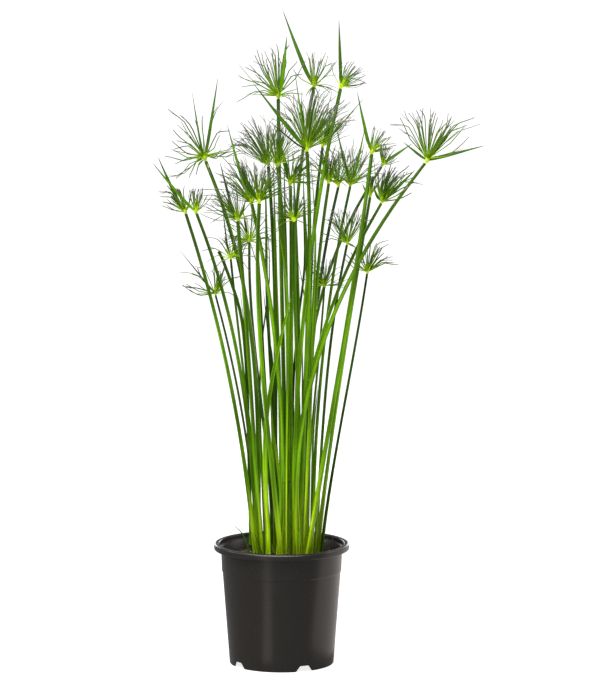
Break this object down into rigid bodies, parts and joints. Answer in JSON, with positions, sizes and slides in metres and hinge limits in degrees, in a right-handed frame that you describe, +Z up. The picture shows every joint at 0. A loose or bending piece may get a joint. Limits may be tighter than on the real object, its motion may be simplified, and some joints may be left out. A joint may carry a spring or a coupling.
{
  "type": "potted dwarf papyrus",
  "caption": "Clump of slender papyrus culms with leafy, thin-rayed heads, growing from soil in a round tapered nursery pot.",
  "frame": {"origin": "middle of the pot's underside, on the surface that the pot stands on", "axes": "+Z up along the pot's axis, +X to the viewer's right, +Y away from the viewer"},
  "size_m": [0.412, 0.2536, 0.819],
  "materials": {
    "pot": "dark brown-black moulded plastic with a soft shine, brighter on the lip",
    "soil": "dark, damp, crumbly peat compost with pale and brown flecks",
    "stem": "smooth waxy green culms, lime yellow towards the soil",
    "umbel": "bright lime heads with deeper green blades and greyish green rays"
  },
  "bodies": {
    "root": {"pot": "pot", "soil": "soil", "stem_01": "stem", "stem_02": "stem", "stem_03": "stem", "stem_04": "stem", "stem_05": "stem", "stem_06": "stem", "stem_07": "stem", "stem_08": "stem", "stem_09": "stem", "stem_10": "stem", "stem_11": "stem", "stem_12": "stem", "stem_13": "stem", "stem_14": "stem", "stem_15": "stem", "stem_16": "stem", "stem_17": "stem", "stem_18": "stem", "stem_19": "stem", "stem_20": "stem", "stem_21": "stem", "stem_22": "stem", "stem_23": "stem", "stem_24": "stem", "stem_25": "stem", "stem_26": "stem", "stem_27": "stem", "stem_28": "stem", "stem_29": "stem", "umbel_01": "umbel", "umbel_02": "umbel", "umbel_03": "umbel", "umbel_04": "umbel", "umbel_05": "umbel", "umbel_06": "umbel", "umbel_07": "umbel", "umbel_08": "umbel", "umbel_09": "umbel", "umbel_10": "umbel", "umbel_11": "umbel", "umbel_12": "umbel", "umbel_13": "umbel", "umbel_14": "umbel", "umbel_15": "umbel", "umbel_16": "umbel", "umbel_17": "umbel", "umbel_18": "umbel", "umbel_19": "umbel", "umbel_20": "umbel", "umbel_21": "umbel", "umbel_22": "umbel", "umbel_23": "umbel", "umbel_24": "umbel", "umbel_25": "umbel", "umbel_26": "umbel", "umbel_27": "umbel", "umbel_28": "umbel", "umbel_29": "umbel"}
  },
  "joints": []
}
